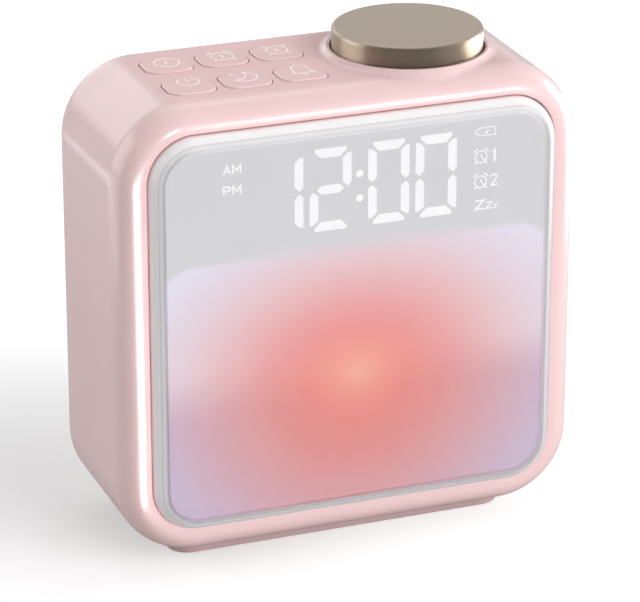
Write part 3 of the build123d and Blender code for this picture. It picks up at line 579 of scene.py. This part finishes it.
def floor_paper():
    """White paper that glows for the camera, weakly round a spot left of the clock: painted shade that keeps a
    shadow there, and painted light that whitens the floor further out.
    """
    made = Surface("floor_paper", specular_ior_level=0.1, emission_color=(1, 1, 1, 1))
    paper = made.ramp(made.noise(3.0), [(0.3, (0.5, 0.5, 0.5, 1)), (0.7, (0.52, 0.52, 0.52, 1))])
    made.feed("Base Color", paper)
    made.feed("Roughness", made.spread(made.noise(60.0), 0.8, 0.9))
    painted_shadow_mid = (-0.055, 0.035, 0.0)
    away = made.add("VectorMath", {"operation": "DISTANCE"}, vector=made.place)
    away.inputs[1].default_value = painted_shadow_mid
    # painted shade near the spot and painted light away from it, seen by the camera alone
    lift = made.spread(away.outputs["Value"], 0.31, 0.62, 0.0, 0.11, True)
    made.feed("Emission Strength", made.math("MULTIPLY", lift, made.add("LightPath").outputs["Is Camera Ray"]))
    return made.material


def reflection_card(name, corners, strength, fade=None):
    """A sheet that only polished surfaces see, as a flag or reflector beside a camera.

    fade is the distance from the frame's origin where the sheet starts to come in, and the width it takes.
    """
    made = Surface(f"{name}_finish", base_color=(0, 0, 0, 1), roughness=1.0, specular_ior_level=0.0,
                   emission_strength=strength)
    made.feed("Emission Color", made.ramp(made.noise(2.0), [(0.3, (0.92, 0.92, 0.92, 1)), (0.7, (1, 1, 1, 1))]))
    if fade:
        away = made.add("VectorMath", {"operation": "LENGTH"}, vector=made.place).outputs["Value"]
        seen = made.spread(away, 0.0, 1.0, fade[0], fade[0] + fade[1], True)
        both = made.tree.nodes.new("ShaderNodeMixShader")
        made.link(seen, both.inputs[0])
        made.link(made.add("BsdfTransparent").outputs["BSDF"], both.inputs[1])
        made.link(made.shader.outputs["BSDF"], both.inputs[2])
        made.link(both.outputs["Shader"], made.output.inputs["Surface"])
    card = sheet(name, corners, made.material)
    card.visible_camera = card.visible_diffuse = card.visible_transmission = card.visible_shadow = False


def level_sheet(left, right, front, back, height):
    """Corners of a level sheet."""
    return [(left, front, height), (right, front, height), (right, back, height), (left, back, height)]


def upright_sheet(start, end, height):
    """Corners of a sheet that stands on the floor along a line."""
    return [(*start, 0.0), (*end, 0.0), (*end, height), (*start, height)]


floor_z = -0.1 * MM
card_z = 2 * MM
sheet("floor", level_sheet(-6, 6, -6, 6, floor_z), floor_paper())
reflection_card("dark_front", level_sheet(-1.6, 0.26, -2.2, 0.02, 0.001), 0.28, (0.19, 0.08))
reflection_card("dark_wall", upright_sheet((-2.5, -2.4), (1.4, -2.4), 2.2), 0.25)
right_outline = [(0.22, -0.02), (0.34, -0.14), (0.95, -0.2), (0.95, 0.4), (0.22, 0.3)]
reflection_card("right_floor", [(*corner, card_z) for corner in right_outline], 7.0)
reflection_card("right_wall", upright_sheet((0.95, -0.2), (0.95, 0.4), 0.5), 6.0)
left_outline = [(-0.8, 0.03), (-0.2, 0.03), (-0.14, 0.3), (-0.8, 0.5)]
reflection_card("left_floor", [(*corner, card_z) for corner in left_outline], 2.0)

middle = Vector((0, 0, 0.052))


def softbox(name, azimuth, elevation, distance, width, height, watts, mirrored=True, only=None):
    """A rectangular lamp that faces the clock, placed by angles from the clock's front.

    A lamp that is not mirrored only lights; one for a single collection only draws a highlight on its pieces.
    """
    turn, rise = math.radians(azimuth), math.radians(elevation)
    out = Vector((math.sin(turn) * math.cos(rise), -math.cos(turn) * math.cos(rise), math.sin(rise)))
    lamp = bpy.data.lights.new(name, "AREA")
    lamp.shape = "RECTANGLE"
    lamp.size, lamp.size_y = width, height
    lamp.energy = watts
    made = bpy.data.objects.new(name, lamp)
    made.location = middle + out * distance
    made.rotation_euler = (-out).to_track_quat("-Z", "Y").to_euler()
    made.visible_glossy = mirrored
    made.visible_diffuse = only is None
    made.visible_transmission = only is None
    made.visible_camera = False
    made.light_linking.receiver_collection = only
    bpy.context.scene.collection.objects.link(made)


accented = bpy.data.collections.new("accented")
accented.objects.link(nodes["main_case"])
# name, azimuth, elevation, distance, width, height, watts
softbox("front_box", 30, 18, 1.9, 1.6, 1.4, 41.0, mirrored=False)
softbox("rim_strip", 24, 9, 1.6, 0.4, 0.5, 7.5, only=accented)
softbox("corner_box", 1, 19, 1.4, 0.18, 0.32, 4.5, only=accented)
softbox("crest_strip", -45, -7, 0.073, 0.026, 0.085, 0.09, only=accented)
softbox("top_box", 170, 58, 1.4, 0.8, 0.6, 1.6)
softbox("left_box", -115, 15, 1.6, 1.3, 1.3, 14.0)
softbox("back_box", -165, 18, 1.6, 1.0, 0.7, 2.5)

# a room that is darker to the front left and lighter to the back right
world = bpy.data.worlds.new("studio")
bpy.context.scene.world = world
world.use_nodes = True
sky = world.node_tree
sky.nodes.clear()
sky_out = sky.nodes.new("ShaderNodeOutputWorld")
sky_light = sky.nodes.new("ShaderNodeBackground")
sky_place = sky.nodes.new("ShaderNodeTexCoord")
sky_along = sky.nodes.new("ShaderNodeVectorMath")
sky_along.operation = "DOT_PRODUCT"
sky_along.inputs[1].default_value = (0.707, 0.707, 0.0)
sky_spread = sky.nodes.new("ShaderNodeMapRange")
for socket, value in (("From Min", -0.7), ("From Max", 0.7), ("To Min", 0.3), ("To Max", 1.05)):
    sky_spread.inputs[socket].default_value = value
sky.links.new(sky_place.outputs["Generated"], sky_along.inputs[0])
sky.links.new(sky_along.outputs["Value"], sky_spread.inputs["Value"])
sky.links.new(sky_spread.outputs["Result"], sky_light.inputs["Strength"])
sky.links.new(sky_light.outputs["Background"], sky_out.inputs["Surface"])

camera = bpy.data.objects.new("camera", bpy.data.cameras.new("camera"))
camera.data.lens = 204.07
camera.data.sensor_width = 36.0
camera.location = (-0.264945, -0.696438, 0.353636)
aim = Vector((0.00044, 0.00052, 0.049468)) - camera.location
camera.rotation_euler = aim.to_track_quat("-Z", "Y").to_euler()
bpy.context.scene.collection.objects.link(camera)
bpy.context.scene.camera = camera
bpy.context.scene.view_settings.view_transform = "Standard"
